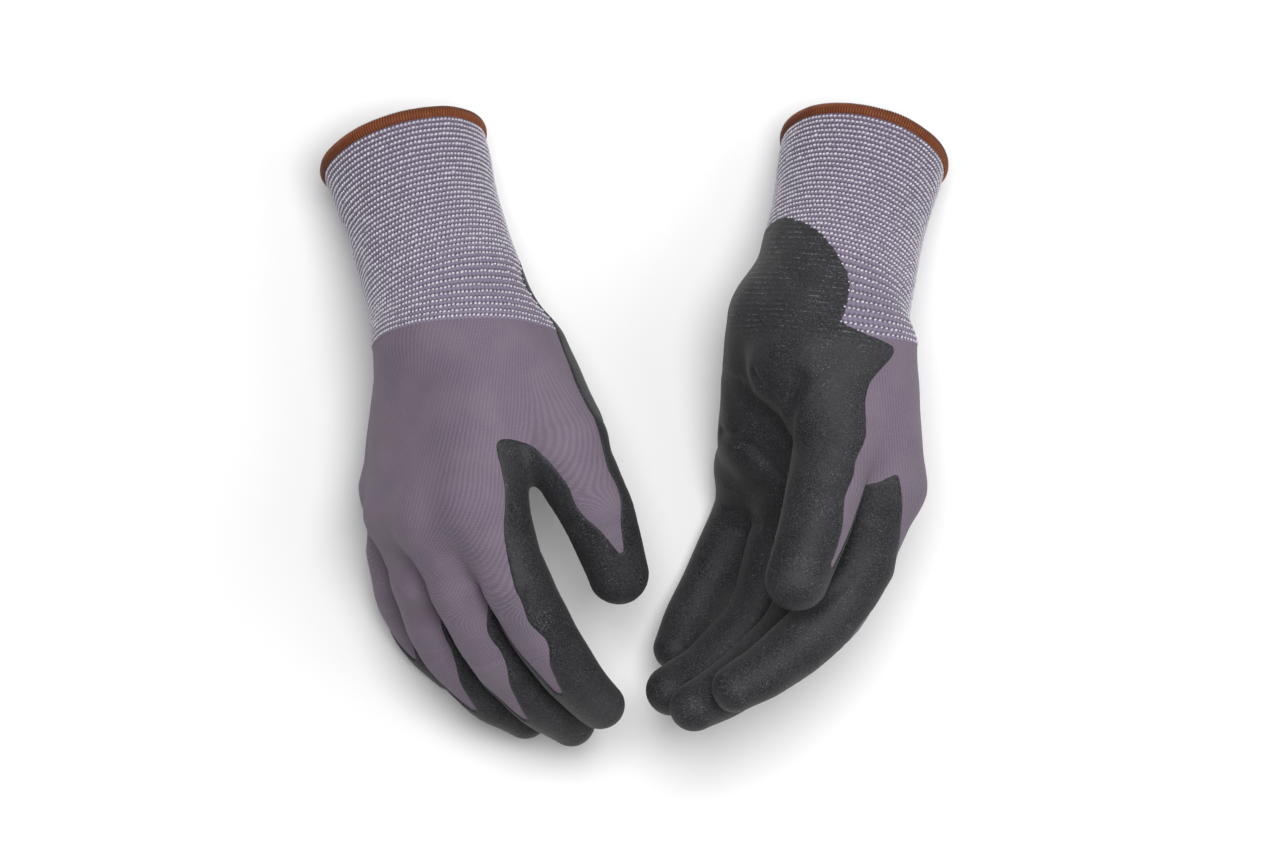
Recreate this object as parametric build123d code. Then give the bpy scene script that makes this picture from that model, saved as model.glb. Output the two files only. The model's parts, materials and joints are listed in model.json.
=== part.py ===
"""A pair of seamless knitted gardening gloves, size large, with dipped palms.

Each glove is a thin knitted liner with a long elastic cuff, a bound hem at its mouth and a foam rubber
coating over the palm, the fingers and the fingertips. The pair lies cupped on a flat surface: +X runs
from the right-hand glove to the left-hand one, +Y towards the cuffs and +Z up. Lengths are millimetres.
"""
from build123d import *
import os
from math import cos, radians, sin, tan

os.makedirs("parts", exist_ok=True)

# ---- Fabric ---------------------------------------------------------------------------------------
LINER = 0.9  # thickness of the knitted liner
COAT = 0.7  # thickness of the coating on top of it
SLACK = 1.3  # how far the plain solids stay inside the glove's soft outer surface
HINGE_GAP = 0.3  # room on each side of a joint's plane
ROOT_ROOM = 2.5  # room round a digit's root that the digit turns into

# ---- Fingers: lengths from the web to each bend and radii there, the same on both gloves ------------
FINGERS = ("index", "middle", "ring", "little")
DIGITS = FINGERS + ("thumb",)
LENGTHS = {
    "index": (24, 26, 18),
    "middle": (27, 30, 19),
    "ring": (25, 28, 18),
    "little": (19, 21, 15),
    "thumb": (27, 24),
}
RADII = {
    "index": (12.6, 12.2, 11.0, 9.2),
    "middle": (12.4, 12.0, 10.8, 9.2),
    "ring": (11.8, 11.4, 10.2, 8.8),
    "little": (11.0, 10.6, 9.4, 8.0),
    "thumb": (15.0, 13.6, 11.4),
}
KNUCKLE_RADIUS = {"index": 13.5, "middle": 13.5, "ring": 13, "little": 12}
STUB_START = 0.45  # how far back from the knuckle to the wrist the start of a finger is rooted in the palm
THUMB_BASE_RADIUS = 20

# ---- Palm: half widths and half depths of its oval sections -----------------------------------------
WRIST_OVAL = (31, 27.5)
PALM_OVAL = (38, 21)
KNUCKLE_OVAL = (41, 16)
WEB_OVAL = (41, 14)
WRIST_FLAT = 4  # the oval stays as it is at the wrist for this far
WEB_SHARE = 0.62  # how far the palm's tube runs from the knuckles to the fingers' roots
WEB_WALL = 1.0  # thickness of the palm's end between the fingers
OUTER_BACK = 12  # how far the palm's outer surfaces run back past the wrist, where the bend cuts them
INNER_BACK = 30  # the same for its hollow, which has to come out open

# ---- Where the coating ends, behind the middle of what it covers --------------------------------------
PALM_WRAP = 3  # behind the middle of the palm
DIGIT_WRAP = 0.45  # behind a digit's centre line, as a share of its radius

# ---- Cuff ---------------------------------------------------------------------------------------------
MOUTH_RADIUS = 29.0
WAIST_RADIUS = 27.5
CUFF_END_RADIUS = 29.5
CUFF_THICKNESS = 1.2
WAIST_PLACE = 0.55  # share of the way from the mouth to the wrist
CUFF_REACH = 14  # how far the tube runs past the wrist, where the bend cuts it
HEM_ROLL = 2.0  # radius of the bound hem
COURSES = 31  # rounds of elastic thread laid on the cuff
COURSE_PITCH = 1.9
THREAD_WIDTH = 0.7
THREAD_THICKNESS = 0.5
THREAD_CLEARANCE = 0.1

# ---- Ranges of the bends, in degrees from how the gloves lie ------------------------------------------
WRIST_RANGE = (-20, 20)
ROOT_RANGE = (-10, 25)
MIDDLE_RANGE = (-15, 30)

# ---- How each glove lies ------------------------------------------------------------------------------
# A digit is its root (x, y, z) and, for each length, a heading (from -Y towards +X) and a dip in degrees.
POSES = {
    "right": {
        "mouth": (-84, 98, 28.2),
        "wrist": (-63, 30, 58),
        "knuckles": {
            "index": (-55, -28, 88),
            "middle": (-70, -33, 75),
            "ring": (-82, -32, 57),
            "little": (-85, -24, 38),
        },
        "thumb_base": (-46, 18, 62),
        "digits": {
            "index": ((-43, -56, 88), ((27, 22), (35, 36), (44, 48))),
            "middle": ((-62, -59, 71), ((26, 20), (42, 33), (54, 44))),
            "ring": ((-77, -56, 51), ((18, 16), (41, 26), (58, 30))),
            "little": ((-87, -46, 29.8), ((8, 22), (28, 25), (44, 27))),
            "thumb": ((-25, -10, 82), ((28, 12), (18, 24))),
        },
        "ranges": {"thumb": ((-12, 20), (-20, 10))},
    },
    "left": {
        "mouth": (83, 98, 27.2),
        "wrist": (67, 31, 64),
        "knuckles": {
            "index": (88, -22, 71),
            "middle": (76, -28, 52),
            "ring": (59, -26, 34),
            "little": (44, -17, 21),
        },
        "thumb_base": (67, 20, 78),
        "digits": {
            "index": ((81, -50, 71), ((-30, -6), (-51, -18), (-60, -26))),
            "middle": ((68, -52, 48), ((-25, -8), (-50, -24), (-62, -30))),
            "ring": ((52, -46, 30), ((-16, -8), (-44, -18), (-62, -28))),
            "little": ((38, -36, 11.6), ((-24, 6), (-30, -20), (-26, -30))),
            "thumb": ((71, -9, 86), ((-14, -22), (-19, -8))),
        },
        "ranges": {"index": ((-10, 12), (-15, 30)), "thumb": ((-4, 20), (-12, 10))},
    },
}
ORIGIN = Vector(-0.27, -1.07, 0)  # middle of the pair's footprint, on the surface that it lies on

BIG = 120  # larger than any gap that a cutting block has to span


def place(point):
    return Vector(*point) - ORIGIN


def direction(heading, dip):
    flat = cos(radians(dip))
    return Vector(sin(radians(heading)) * flat, -cos(radians(heading)) * flat, -sin(radians(dip)))


def digit_points(side, digit):
    root, turns = POSES[side]["digits"][digit]
    points = [place(root)]
    for length, (heading, dip) in zip(LENGTHS[digit], turns):
        points.append(points[-1] + direction(heading, dip) * length)
    return points


def square_to(vector, axis):
    """The part of a vector that is square to an axis, as a unit vector."""
    unit = axis.normalized()
    return (vector - unit * vector.dot(unit)).normalized()


def across(side):
    """Unit vector across the hand, from the index finger's root to the little finger's."""
    roots = POSES[side]["digits"]
    return (place(roots["little"][0]) - place(roots["index"][0])).normalized()


def flexion_axis(side):
    """The fingers and the wrist close about this axis by the right-hand rule."""
    return across(side) * (-1 if side == "right" else 1)


class Hinge:
    """A bend at a point, about an axis, between the cloth before it and the cloth after it."""

    def __init__(self, point, axis, before, after, limits):
        self.point = point
        self.axis = axis
        self.limits = limits
        self.along = square_to(before.normalized() + after.normalized(), axis)

    def wedge(self, way):
        """A block on one side of the bend, cut back by half of the travel on each side of the axis."""
        low, high = self.limits
        up = HINGE_GAP + BIG * tan(radians(high / 2))
        down = HINGE_GAP + BIG * tan(radians(-low / 2))
        outline = [(HINGE_GAP, 0), (up, BIG), (BIG * 2, BIG), (BIG * 2, -BIG), (down, -BIG)]
        outline = [(way * x, y) for x, y in outline]
        plane = Plane(origin=self.point, x_dir=self.along, z_dir=self.axis)
        return plane * extrude(make_face(Polyline(*outline, close=True)), amount=BIG, both=True)

    def after(self, solid):
        return solid & self.wedge(1)

    def before(self, solid):
        return solid & self.wedge(-1)


def frustum(start, end, start_radius, end_radius, back=0.0, ahead=0.0):
    """A solid cone between two points, run on at its own slope past either end."""
    along = (end - start).normalized()
    length = (end - start).length
    slope = (end_radius - start_radius) / length
    plane = Plane(origin=start - along * back, z_dir=along)
    low = start_radius - slope * back
    high = end_radius + slope * ahead
    upright = (Align.CENTER, Align.CENTER, Align.MIN)
    return plane * Cone(low, high, length + back + ahead, align=upright)


def rounded_end(start, end, start_radius, end_radius, back):
    """A solid cone whose far end is a half ball about the end point."""
    along = (end - start).normalized()
    length = (end - start).length + back
    low = start_radius + (start_radius - end_radius) / (end - start).length * back
    tip = length + end_radius
    side = Polyline((0, tip), (0, 0), (low, 0), (end_radius, length))
    cap = ThreePointArc(
        (end_radius, length),
        (end_radius * cos(radians(45)), length + end_radius * sin(radians(45))),
        (0, tip),
    )
    solid = revolve(Plane.XZ * make_face(side.edges() + cap.edges()), Axis.Z)
    return Plane(origin=start - along * back, z_dir=along) * solid


def below(point, normal):
    """A block that fills everything under a plane."""
    under = (Align.CENTER, Align.CENTER, Align.MAX)
    return Plane(origin=point, z_dir=normal) * Box(2 * BIG, 2 * BIG, 2 * BIG, align=under)


def only(shape):
    """The largest single solid of a shape."""
    return max(shape.solids(), key=lambda solid: solid.volume)


class Glove:
    """One glove's centre lines, bends and solids."""

    def __init__(self, side):
        self.side = side
        pose = POSES[side]
        self.mouth = place(pose["mouth"])
        self.wrist = place(pose["wrist"])
        self.knuckles = {name: place(point) for name, point in pose["knuckles"].items()}
        self.thumb_base = place(pose["thumb_base"])
        self.points = {name: digit_points(side, name) for name in DIGITS}
        self.knuckle_middle = sum(self.knuckles.values(), Vector()) / len(FINGERS)
        self.root_middle = sum((self.points[name][0] for name in FINGERS), Vector()) / len(FINGERS)
        self.across = across(side)
        self.hinges = self.make_hinges(pose["ranges"])

    def palmar(self, along):
        """Unit vector out of the palm side of a tube that runs along the given way."""
        return flexion_axis(self.side).cross(square_to(along, flexion_axis(self.side)))

    def thumb_axis(self):
        """The thumb opens away from the palm about this axis by the right-hand rule."""
        root, bend, tip = self.points["thumb"]
        first = (bend - root).normalized()
        return square_to((tip - bend).normalized().cross(first), first)

    def make_hinges(self, ranges):
        """The wrist, and for each digit its root and its middle bend."""
        palm = self.wrist - self.knuckle_middle
        cuff = self.mouth - self.wrist
        wrist_axis = square_to(flexion_axis(self.side) * -1, palm.normalized() + cuff.normalized())
        hinges = {"wrist": Hinge(self.wrist, wrist_axis, palm, cuff, WRIST_RANGE)}
        for name in DIGITS:
            points = self.points[name]
            thumb = name == "thumb"
            axis = self.thumb_axis() if thumb else flexion_axis(self.side)
            behind = points[0] - (self.thumb_base if thumb else self.knuckles[name])
            root_range, middle_range = ranges.get(name, (ROOT_RANGE, MIDDLE_RANGE))
            first = points[1] - points[0]
            second = points[2] - points[1]
            hinges[f"{name}_root"] = Hinge(points[0], axis, behind, first, root_range)
            hinges[f"{name}_middle"] = Hinge(points[1], axis, first, second, middle_range)
        return hinges

    # ---- Digits ------------------------------------------------------------------------------------
    def proximal_solid(self, name, inset):
        points, radii = self.points[name], RADII[name]
        first, second = radii[0] - SLACK - inset, radii[1] - SLACK - inset
        solid = frustum(points[0], points[1], first, second, back=first, ahead=second)
        solid = self.hinges[f"{name}_root"].after(solid)
        return self.hinges[f"{name}_middle"].before(solid)

    def tip_solid(self, name, inset):
        points = self.points[name]
        radii = [radius - SLACK - inset for radius in RADII[name]]
        if name == "thumb":
            solid = rounded_end(points[1], points[2], radii[1], radii[2], back=radii[1])
        else:
            overlap = radii[2] * 0.3
            middle = frustum(points[1], points[2], radii[1], radii[2], back=radii[1], ahead=overlap)
            solid = middle + rounded_end(points[2], points[3], radii[2], radii[3], back=overlap)
        return self.hinges[f"{name}_middle"].after(solid)

    def digit_parts(self, name):
        """The liner and the coating of a digit's two stretches."""
        outer, join, inner = 0, COAT, COAT + LINER
        start, end = self.points[name][:2]
        palmar = self.palmar(end - start)
        back_of_digit = (start + end) / 2 - palmar * (RADII[name][1] * DIGIT_WRAP)
        skin = self.proximal_solid(name, outer) - self.proximal_solid(name, join)
        return {
            f"{name}_proximal_liner": self.proximal_solid(name, join) - self.proximal_solid(name, inner),
            f"{name}_proximal_coat": skin & below(back_of_digit, palmar * -1),
            f"{name}_tip_liner": self.tip_solid(name, join) - self.tip_solid(name, inner),
            f"{name}_tip_coat": self.tip_solid(name, outer) - self.tip_solid(name, join),
        }

    # ---- Hand --------------------------------------------------------------------------------------
    def palm_solid(self, inset, back, shorten):
        """An oval tube from the wrist to just short of the webs."""
        start, knuckles, web = self.wrist, self.knuckle_middle, self.root_middle
        along = (knuckles - start).normalized()
        end = knuckles + (web - knuckles) * WEB_SHARE - (web - knuckles).normalized() * shorten
        stations = [
            (start - along * back, along, WRIST_OVAL),
            (start + along * WRIST_FLAT, along, WRIST_OVAL),
            ((start + knuckles) / 2, along, PALM_OVAL),
            (knuckles, along, KNUCKLE_OVAL),
            (end, (web - knuckles).normalized(), WEB_OVAL),
        ]
        faces = []
        for point, normal, (half_width, half_depth) in stations:
            plane = Plane(origin=point, x_dir=square_to(self.across, normal), z_dir=normal)
            faces.append(plane * Ellipse(half_width - inset, half_depth - inset))
        return loft(faces)

    def stub(self, name, inset):
        """The start of a digit, which belongs to the hand."""
        root = self.points[name][0]
        end_radius = RADII[name][0] - SLACK - inset
        if name == "thumb":
            return frustum(self.thumb_base, root, THUMB_BASE_RADIUS - inset, end_radius)
        start = self.knuckles[name] + (self.wrist - self.knuckles[name]) * STUB_START
        return frustum(start, root, KNUCKLE_RADIUS[name] - inset, end_radius)

    def hand_solid(self, inset, back, shorten):
        solid = self.palm_solid(inset, back, shorten)
        for name in DIGITS:
            solid += self.stub(name, inset)
        for name in DIGITS:
            solid -= self.root_gap(name)
        return self.hinges["wrist"].before(solid)

    def root_gap(self, name):
        """The room that a digit's travel needs in the hand, kept to a short cylinder round its root."""
        start, end = self.points[name][:2]
        radius = RADII[name][0] + ROOT_ROOM
        block = Plane(origin=start, z_dir=end - start) * Cylinder(radius, radius * 2)
        return block - self.hinges[f"{name}_root"].wedge(-1)

    def hand_parts(self):
        """The liner's back and palm sides, and the coating on the palm."""
        wall = COAT + LINER
        joined = self.hand_solid(COAT, OUTER_BACK, 0)
        liner = joined - self.hand_solid(wall, INNER_BACK, WEB_WALL)
        palmar = self.palmar(self.knuckle_middle - self.wrist)
        palm_side = below(self.knuckle_middle - palmar * PALM_WRAP, palmar * -1)
        return {
            "back_liner": liner - palm_side,
            "palm_liner": liner & palm_side,
            "palm_coat": (self.hand_solid(0, OUTER_BACK, 0) - joined) & palm_side,
        }

    # ---- Cuff --------------------------------------------------------------------------------------
    def cuff_solid(self, inset, past):
        """A waisted tube, run on past the mouth by the given amount."""
        waist, end = self.cuff_stations()
        profile = Polyline(
            (0, -past),
            (MOUTH_RADIUS - inset, -past),
            (WAIST_RADIUS - inset, waist),
            (CUFF_END_RADIUS - inset, end),
            (0, end),
            close=True,
        )
        solid = revolve(Plane.XZ * make_face(profile), Axis.Z)
        return self.hinges["wrist"].after(self.cuff_plane(0) * solid)

    def cuff_plane(self, distance):
        """A plane square to the cuff, this far from its mouth."""
        along = (self.wrist - self.mouth).normalized()
        return Plane(origin=self.mouth + along * distance, z_dir=along)

    def cuff_stations(self):
        """How far the cuff's waist and its end are from its mouth."""
        length = (self.wrist - self.mouth).length
        return length * WAIST_PLACE, length + CUFF_REACH

    def cuff_radius(self, distance):
        waist, end = self.cuff_stations()
        if distance < waist:
            return MOUTH_RADIUS + (WAIST_RADIUS - MOUTH_RADIUS) * distance / waist
        return WAIST_RADIUS + (CUFF_END_RADIUS - WAIST_RADIUS) * (distance - waist) / (end - waist)

    def elastic(self):
        """The rounds of elastic thread that lie on the cuff, from just above the hem."""
        rings = []
        for course in range(COURSES):
            distance = HEM_ROLL + THREAD_WIDTH + course * COURSE_PITCH
            inside = self.cuff_radius(distance) + THREAD_CLEARANCE
            ring = Cylinder(inside + THREAD_THICKNESS, THREAD_WIDTH) - Cylinder(inside, THREAD_WIDTH)
            rings.append(self.cuff_plane(distance) * ring)
        return rings

    def cuff_parts(self):
        shell = self.cuff_solid(0, 0) - self.cuff_solid(CUFF_THICKNESS, 5)
        roll = self.cuff_plane(0) * Torus(MOUTH_RADIUS - CUFF_THICKNESS / 2, HEM_ROLL)
        return {"cuff": shell, "hem": roll - shell}

    def parts(self):
        found = self.hand_parts() | self.cuff_parts()
        for name in DIGITS:
            found |= self.digit_parts(name)
        return found


def make_all():
    """Every node of the pair: its name and its solids."""
    nodes = {}
    for side in POSES:
        glove = Glove(side)
        for name, shape in glove.parts().items():
            nodes[f"{side}_{name}"] = [only(shape)]
        nodes[f"{side}_cuff_elastic"] = glove.elastic()
    return nodes


nodes = make_all()
for name, solids in nodes.items():
    export_step(Compound(children=solids) if len(solids) > 1 else solids[0], f"parts/{name}.step")
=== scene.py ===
"""How a pair of knitted, foam-dipped gardening gloves looks.

Each glove is one skin: a field of rounded cones along its centre lines, meshed once and then cut into
its pieces, so that neighbouring pieces share their edges exactly. Lengths are millimetres in the row's
frame, and they become metres where a mesh is made.
"""

import json
from functools import reduce
from itertools import product

import bpy
import numpy as np
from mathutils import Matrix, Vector


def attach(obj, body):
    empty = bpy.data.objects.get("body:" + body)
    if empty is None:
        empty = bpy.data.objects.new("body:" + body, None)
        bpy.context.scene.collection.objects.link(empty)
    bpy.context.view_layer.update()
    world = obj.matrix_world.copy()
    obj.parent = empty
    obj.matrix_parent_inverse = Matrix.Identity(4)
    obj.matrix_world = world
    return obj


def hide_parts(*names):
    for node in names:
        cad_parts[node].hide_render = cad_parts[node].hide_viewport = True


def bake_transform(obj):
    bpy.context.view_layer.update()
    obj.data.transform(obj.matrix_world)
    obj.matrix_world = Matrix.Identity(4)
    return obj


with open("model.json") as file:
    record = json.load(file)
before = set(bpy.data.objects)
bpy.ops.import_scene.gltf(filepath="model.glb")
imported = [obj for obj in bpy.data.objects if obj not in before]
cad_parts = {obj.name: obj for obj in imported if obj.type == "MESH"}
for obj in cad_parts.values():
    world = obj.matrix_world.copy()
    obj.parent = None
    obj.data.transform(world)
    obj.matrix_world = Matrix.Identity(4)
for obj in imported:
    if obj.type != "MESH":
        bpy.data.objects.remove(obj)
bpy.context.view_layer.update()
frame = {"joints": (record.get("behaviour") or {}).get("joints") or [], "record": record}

JOINTS = {joint["name"]: joint for joint in frame["joints"]}
MOUNTS = {mount["name"]: mount for mount in frame["record"]["mounts"]}
MM = 0.001  # metres in a millimetre

# ---- Fabric ----
LINER = 0.9  # thickness of the knitted liner
COAT = 0.6  # how far the coating stands proud of it
COAT_SINK = 0.12  # how far the coating's underside is soaked into the liner
RIM = ((0.0, 0.0), (0.3, 0.62), (0.9, 1.0))  # distance from the coating's edge, share of its thickness
SLOT = 1.5  # half the gap between the liners of two fingers that touch
SLACK = ((34, 0.25, 3), (15, 0.12, 4))  # wavelengths, heights and seeds of the waves in loose cloth
FLOOR = 0.05  # the lowest point of the cloth

# ---- Mesh ----
STEP = 1.2
WRIST_BALL = 33  # the grid holds a ball of this radius at the wrist, and one past the coating's end
HEEL_SPARE = 8  # how far past it
DIGIT_SPARE = 3  # the grid also holds the digits and the knuckles, with this much to spare
KNUCKLE_SPARE = 5
OWN_REACH = 2.5  # a digit's cuts reach this far from its own cones
FEWEST_FACES = 60  # a smaller loose scrap is dropped

# ---- Hand ----
FINGERS = ("index", "middle", "ring", "little")
DIGITS = FINGERS + ("thumb",)
RADII = {
    "index": (12.6, 11.7, 10.2, 8.7),
    "middle": (12.4, 11.6, 10.2, 8.8),
    "ring": (11.8, 11.4, 10.2, 8.8),
    "little": (11.0, 10.6, 9.4, 8.0),
    "thumb": (15.0, 13.1, 10.9),
}
OUTER_LENGTHS = {"index": (26, 18), "middle": (30, 19), "ring": (28, 18), "little": (21, 15), "thumb": (24,)}
CARPAL_RADIUS = 21
KNUCKLE_RADII = {"index": 16, "middle": 16, "ring": 15, "little": 14}
WEB_BACK = 6  # how far short of the fingers' roots the palm's rays end
PALM_BLEND = 8  # how softly the palm's rays melt into each other
MOUND_BLEND = 6
FINGER_BLEND = 3
ROOT_BLEND = 1.5

# Places in the hand, in the fingers' order. For each digit, the headings (from -Y towards +X) and dips past
# its middle bend. Mounds are two ends and their radii.
POSES = {
    "right": {
        "carpals": ((-52, 23, 68), (-58, 23, 62), (-66, 23, 54), (-72, 23, 48)),
        "knuckles": ((-55, -27, 88), (-70, -32, 75), (-82, -31, 57), (-85, -23, 38)),
        "turns": {
            "index": ((35, 36), (44, 48)),
            "middle": ((42, 33), (54, 44)),
            "ring": ((41, 26), (58, 30)),
            "little": ((28, 25), (44, 27)),
            "thumb": ((18, 24),),
        },
        "mounds": (
            ((-46, 19, 60), (-26, -7, 80), 22, 16.5),
            ((-44, 21, 52), (-29, -3, 62), 21, 18),
            ((-62, 30, 46), (-72, -10, 36), 20, 17),
        ),
        "thumb_back": (0.25, -0.1, 1.0),
    },
    "left": {
        "carpals": ((80, 25, 76), (72, 25, 66), (62, 25, 56), (56, 25, 50)),
        "knuckles": ((88, -21, 71), (76, -27, 52), (59, -25, 34), (44, -16, 21)),
        "turns": {
            "index": ((-51, -18), (-60, -26)),
            "middle": ((-50, -24), (-62, -30)),
            "ring": ((-44, -18), (-62, -28)),
            "little": ((-30, -20), (-26, -30)),
            "thumb": ((-19, -8),),
        },
        "mounds": (
            ((68, 24, 78), (73, -5, 86), 21, 16),
            ((62, 22, 74), (69, 10, 74), 21, 15),
            ((54, 37, 56), (48, -5, 38), 20, 16),
        ),
        "thumb_back": (1.0, -0.1, 0.15),
    },
}

# Folds in the coating: the points of a line, the width of the hollow and its depth.
FOLDS = {
    "right": (),
    "left": (
        ((32, -2, 41), (42, -6, 54), (54, -19, 55), 4, 1.3),
        ((58, 16, 96), (56, 6, 91), (55, -4, 84), 6, 2.6),
        ((43, 19, 82), (54, 5, 88), 3.2, 1.0),
        ((30, 19, 47), (38, 16, 63), 3.5, 1.1),
        ((63, -67, 83), (70, -60, 84), (77, -55, 84), 3.5, 0.9),
        ((35, -30, 22), (45, -36, 38), 3.5, 1.2),
        ((50, -46, 105), (60, -47, 110), (70, -48, 104), 2.4, 0.4),
        ((50, -51, 105), (60, -52, 110), (69, -53, 104), 2.4, 0.35),
    ),
}

# ---- Cuff ----
MOUTH_RADIUS = 29.6
WAIST_RADIUS = 27.6
WRIST_RADIUS = 29.0
WAIST_PLACE = 0.6  # share of the way from the wrist to the mouth
CUFF_BEND = 22  # how far from the wrist the cuff's sections have turned square to its axis
CUFF_FADE = 26  # how slowly the cuff's tube narrows inside the hand
CUFF_PROUD = 0.12  # the ribbed cuff is a little thicker than the liner
CUFF_START = -0.6  # where its first row is, a little inside the hand's liner
COURSES = 40
WALES = 120
COURSE_ROWS = 3  # mesh rows in a course
WALE_COLUMNS = 2  # mesh columns in a wale
COURSE_RELIEF = 0.1
WALE_RELIEF = 0.05

# ---- Coating ----
# The bare cloth, as strokes along the backs of the digits. For a finger: how far it reaches, its half
# widths at the knuckle, the root and half way, and its turns round the finger at the start and at the end
# of each stretch. The thumb has one more half width, at the wrist. The wrist has the half width of the
# fingers' strokes, and how far round it the thumb's begins. The heel is the end of the coating on the palm
# side of the cuff: its reach, its half width and its turn.
BARE = {
    "right": {
        "index": (43, 20, 11, 5.5, 5, -30),
        "middle": (54, 17, 13.5, 9.5, -6, -14),
        "ring": (51, 17, 12.5, 9.5, -6, -14),
        "little": (40, 16, 11.5, 9, -5, -10),
        "thumb": (37, 34, 17, 8.5, 6.8, -8, -1),
        "wrist": (44, 76),
        "heel": (36, 32.5, 6.5),
    },
    "left": {
        "index": (42, 24, 9.5, 5, -12, 33),
        "middle": (54, 16, 13.5, 9.5, 6, 14),
        "ring": (51, 17, 12.5, 9.5, 6, 14),
        "little": (40, 16, 11.5, 9, 5, 10),
        "thumb": (42, 16, 15, 8, 5, 10, 15),
        "wrist": (44, 60),
        "heel": (36, 40, 8),
    },
}
BARE_BLEND = 7
BARE_TIP = 1.2
BARE_START = 40  # how far past the wrist the fingers' strokes begin
THUMB_BASE = -18  # the thumb's base, as a distance from its root
HEEL_START = 30  # how far inside the hand the heel begins
HEEL_SPREAD = 1.5  # its width there, as a share of its width at its end
HEEL_PROUD = 1.2  # how far out it begins, as a share of the wrist's radius
EDGE_FADE = 8  # over this length the hand's edge of the coating becomes the cuff's
EDGE_SWAY = (26, 0.3)  # wavelength and height of the slow waves in the edge
EDGE_STEPS = (2.6, 0.05, 0.3)  # wavelength and height of its small steps, and how much more on the cuff

# ---- Knit ----
HAND_ROUND = 26  # mean radius of the hand
HAND_FLATNESS = 1.5
WALE_PITCH = 1.1
COURSE_PITCH = 0.8
LOOP_SLANT = 0.18
KNIT_TURN = 16  # over this length the knit comes to follow a digit
KNIT_OWN = 5  # it follows a digit fully where the others are this much farther off
RIB_FADE = 8
ROW_PITCH = 1.96  # the cuff's courses, which show through the coating
STITCH_LENGTH = 1.15
STITCH_WIDTH = 1.0
STITCH_HEIGHT = 0.45
STITCH_SLANT = 0.35
STITCH_SIDES = 6
STITCH_RINGS = ((1.0, -0.1), (0.8, 0.62))  # radius and height of its foot and its shoulder
STITCH_PLACE = 0.35  # share of a course
STITCH_JITTER = (0.07, 0.0025, 0.1)  # along the cuff, round it (in radians) and in size
STITCH_COVER = 0.6  # how far inside the coating's edge a stitch still shows
HEM_TURNS = 186
HEM_ROWS = 4  # mesh rows in a turn of thread
HEM_COLUMNS = 16
HEM_WIDTH = 2.3
HEM_DEPTH = 1.9
HEM_THREAD = 0.14
HEM_UNEVEN = (3.5, 0.05)  # wavelength and height of the thread's unevenness

# ---- Colours ----
LINER_DARK = (0.125, 0.1, 0.135, 1)
LINER_LIGHT = (0.245, 0.2, 0.262, 1)
LINER_ROSE = (0.215, 0.165, 0.205, 1)
COAT_DARK = (0.0055, 0.0055, 0.007, 1)
COAT_LIGHT = (0.0165, 0.0168, 0.0187, 1)
COAT_GRAIN = (0.055, 0.056, 0.061, 1)
COAT_SPECK = (0.2, 0.19, 0.2, 1)
CUFF_DARK = (0.095, 0.077, 0.115, 1)
CUFF_LIGHT = (0.22, 0.187, 0.26, 1)
ELASTIC_DARK = (0.42, 0.4, 0.46, 1)
ELASTIC_LIGHT = (0.72, 0.7, 0.75, 1)
HEM_DARK = (0.085, 0.02, 0.006, 1)
HEM_LIGHT = (0.26, 0.075, 0.024, 1)
FLOOR_DARK = (0.93, 0.93, 0.93, 1)
FLOOR_LIGHT = (0.96, 0.96, 0.96, 1)
SHEEN_ROUGHNESS = 0.5

# ---- Studio, in metres ----
FLOOR_SIZE = 6
WORLD_LIGHT = 0.27
LIGHTS = (  # names, places, sizes and powers
    ("key", (0.12, 0.25, 1.7), 0.9, 25),
    ("fill", (0.9, 0.1, 1.1), 0.8, 4),
)
CAMERA_LENS = 236.6
CAMERA_MIDDLE = (-0.0001, 0.0011)
CAMERA_HEIGHT = 3.05

# ---- Spans along the digits and the wrist ----
# The knit follows a digit from this far past its root. The root's span runs from this far past it to this
# share of the first stretch, and the middle's from this share of the first stretch to this share of the
# second.
# The cut is where the base ends, as a share of the first stretch.
FINGER_BENDS = {"knit": 1.0, "root": (3.0, 0.60), "middle": (0.68, 0.35), "cut": 0.64}
THUMB_BENDS = {"knit": 12.0, "root": (7.0, 0.74), "middle": (0.8, 0.35), "cut": 0.78}
WRIST_BEND = 30  # the wrist's span reaches this far along the cuff


def place_of(row):
    """Where a joint or a mount is, in millimetres."""
    return np.array(row["pos_m"]) / MM


def unit(vector):
    return vector / np.linalg.norm(vector)


def unit_rows(vectors):
    return vectors / np.linalg.norm(vectors, axis=1)[:, None]


def square_to(vector, axis):
    """The part of a vector that is square to an axis, as a unit vector."""
    return unit(vector - unit(axis) * np.dot(vector, unit(axis)))


def heading(turn, dip):
    """Unit vector turned from -Y towards +X and dipped below the horizontal, in degrees."""
    turn, dip = np.radians(turn), np.radians(dip)
    return np.array([np.sin(turn) * np.cos(dip), -np.cos(turn) * np.cos(dip), -np.sin(dip)])


def smoothstep(value):
    value = np.clip(value, 0, 1)
    return value * value * (3 - 2 * value)


def smooth_min(a, b, width):
    share = np.clip(0.5 + 0.5 * (b - a) / width, 0, 1)
    return b * (1 - share) + a * share - width * share * (1 - share)


def rounded_cone(points, start, end, start_radius, end_radius):
    """Signed distance from a capsule whose radius changes evenly along it."""
    along = end - start
    offset = points - start
    share = np.clip(offset @ along / (along @ along), 0, 1)
    away = np.linalg.norm(offset - share[:, None] * along, axis=1)
    return away - (start_radius + share * (end_radius - start_radius))


def rounded_bends(corners, reach=0.32, pieces=4):
    """A line's points, with a curve in place of each bend."""
    chain = [corners[0]]
    for last, corner, following in zip(corners, corners[1:], corners[2:]):
        before, after = corner + (last - corner) * reach, corner + (following - corner) * reach
        for share in np.arange(pieces + 1) / pieces:
            chain.append(before * (1 - share) ** 2 + corner * 2 * share * (1 - share) + after * share**2)
    return chain + [corners[-1]]


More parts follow.
